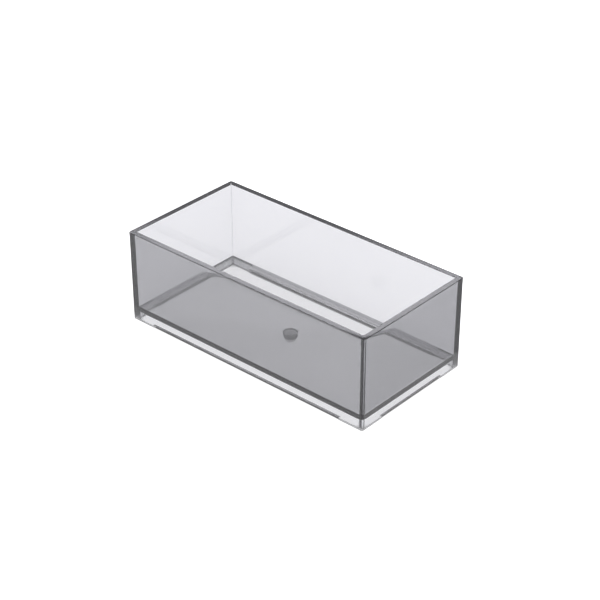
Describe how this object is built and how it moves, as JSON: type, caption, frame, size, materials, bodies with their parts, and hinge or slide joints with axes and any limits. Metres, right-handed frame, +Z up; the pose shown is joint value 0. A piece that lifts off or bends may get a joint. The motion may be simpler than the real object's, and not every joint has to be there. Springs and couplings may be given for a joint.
{
  "type": "drawer organizer box",
  "caption": "Open-top rectangular organizer box in clear smoke-grey plastic, with thin straight walls, a floor raised on a hollow skirt and corner feet.",
  "frame": {"origin": "middle of the box in plan, at the level of its corner feet", "axes": "+X along the box's length, +Y across it, +Z up through the open mouth"},
  "size_m": [0.154, 0.0754, 0.0508],
  "materials": {
    "smoke_plastic": "clear smoke-grey, polished"
  },
  "bodies": {
    "root": {"organizer_box": "smoke_plastic"}
  },
  "joints": []
}
